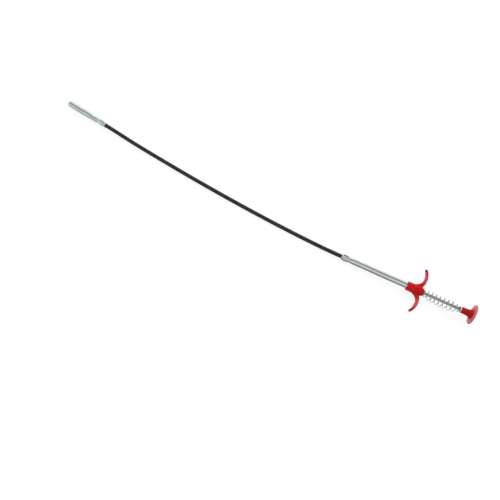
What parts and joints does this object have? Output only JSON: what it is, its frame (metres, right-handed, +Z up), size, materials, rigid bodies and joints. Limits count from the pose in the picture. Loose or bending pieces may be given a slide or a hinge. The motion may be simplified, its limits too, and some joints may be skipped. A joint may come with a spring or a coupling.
{
  "type": "drain auger",
  "caption": "Flexible drain auger: a sprung thumb plunger in a finger grip pushes wire claws out of the tip of a long coil shaft.",
  "frame": {"origin": "on the floor, below the middle of the tool's bounding box", "axes": "+Z up from the floor the tool lies on, +X along the handle towards the thumb button; the shaft bows to +Y on its way to the tip at -X"},
  "size_m": [0.6022, 0.0676, 0.0244],
  "materials": {
    "red": "smooth moulded, slightly translucent at thin edges",
    "chrome": "bright plated",
    "zinc": "bright zinc plated, slightly blue",
    "black_steel": "blackened spring wire, satin",
    "spring_steel": "drawn wire, bright",
    "cable_steel": "stranded wire, dull",
    "nylon": "natural, matt"
  },
  "bodies": {
    "handle": {"finger_grip": "red", "handle_tube": "chrome", "flexible_shaft": "black_steel", "return_spring": "spring_steel"},
    "plunger": {"thumb_button": "red", "plunger_rod": "chrome", "spring_washer": "nylon", "cable_ferrule": "zinc", "inner_cable": "cable_steel"},
    "tip": {"tip_sleeve": "zinc"},
    "claw_carrier": {"claw_ferrule": "zinc"},
    "claw_1": {"claw_wire_1": "spring_steel"},
    "claw_2": {"claw_wire_2": "spring_steel"},
    "claw_3": {"claw_wire_3": "spring_steel"},
    "claw_4": {"claw_wire_4": "spring_steel"}
  },
  "joints": [
    {"name": "plunger_slide", "type": "slide", "parent": "handle", "child": "plunger", "axis": [-0.9987, 0, -0.0506], "range_m": [0, 0.03], "stiffness_N_per_m": 300, "springref_m": -0.01, "deforming": ["return_spring", "inner_cable"]},
    {"name": "shaft_bend", "type": "hinge", "parent": "handle", "child": "tip", "pos_m": [-0.05233, 0.00228, 0.0025], "axis": [0, 0, 1], "range_deg": [-60, 60], "stiffness_Nm_per_rad": 0.06, "deforming": ["flexible_shaft"]},
    {"name": "claw_carrier_slide", "type": "slide", "parent": "tip", "child": "claw_carrier", "axis": [-0.9928, 0.1201, 0], "range_m": [0, 0.03]},
    {"name": "claw_1_opening", "type": "hinge", "parent": "claw_carrier", "child": "claw_1", "pos_m": [-0.26868, 0.02602, 0.0052], "axis": [0.085, 0.702, -0.7071], "range_deg": [0, 17]},
    {"name": "claw_2_opening", "type": "hinge", "parent": "claw_carrier", "child": "claw_2", "pos_m": [-0.26868, 0.02602, 0.004], "axis": [-0.085, -0.702, -0.7071], "range_deg": [0, 17]},
    {"name": "claw_3_opening", "type": "hinge", "parent": "claw_carrier", "child": "claw_3", "pos_m": [-0.26883, 0.02483, 0.004], "axis": [-0.085, -0.702, 0.7071], "range_deg": [0, 17]},
    {"name": "claw_4_opening", "type": "hinge", "parent": "claw_carrier", "child": "claw_4", "pos_m": [-0.26883, 0.02483, 0.0052], "axis": [0.085, 0.702, 0.7071], "range_deg": [0, 17]}
  ],
  "couplings": [
    {"joint": "claw_carrier_slide", "follows": "plunger_slide", "ratio": 1},
    {"joint": "claw_1_opening", "follows": "plunger_slide", "rad_per_m": 9.7714},
    {"joint": "claw_2_opening", "follows": "plunger_slide", "rad_per_m": 9.7714},
    {"joint": "claw_3_opening", "follows": "plunger_slide", "rad_per_m": 9.7714},
    {"joint": "claw_4_opening", "follows": "plunger_slide", "rad_per_m": 9.7714}
  ]
}
